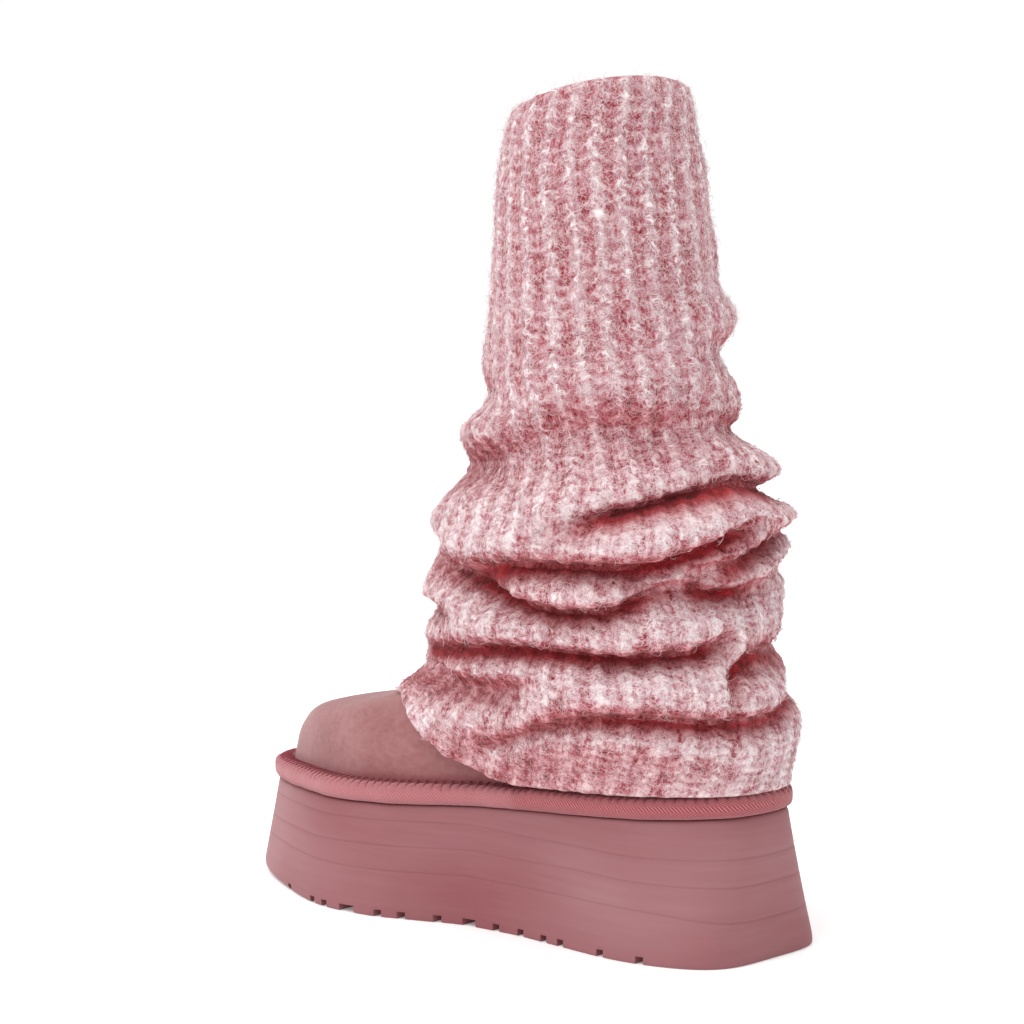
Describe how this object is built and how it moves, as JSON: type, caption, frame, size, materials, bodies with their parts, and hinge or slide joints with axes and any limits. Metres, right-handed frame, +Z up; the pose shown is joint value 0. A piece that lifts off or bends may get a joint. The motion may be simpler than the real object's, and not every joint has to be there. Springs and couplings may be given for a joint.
{
  "type": "platform boot with knitted shaft",
  "caption": "Right platform ankle boot in suede under a tall slouched rib-knit leg warmer, with a rolled tape welt and a flared foam sole.",
  "frame": {"origin": "middle of the sole's outline on the ground", "axes": "+Z up, the toe towards -Y, the heel towards +Y, +X the inner side of the foot and the wearer's left"},
  "size_m": [0.1261, 0.2776, 0.3423],
  "materials": {
    "platform_sole_material": "matt moulded foam",
    "welt_tape_material": "woven twill",
    "suede_upper_material": "napped suede",
    "insole_material": "wool fleece",
    "knit_legwarmer_material": "brushed rib knit"
  },
  "bodies": {
    "root": {"platform_sole": "platform_sole_material", "welt_tape": "welt_tape_material", "suede_upper": "suede_upper_material", "insole": "insole_material", "knit_legwarmer": "knit_legwarmer_material"}
  },
  "joints": []
}
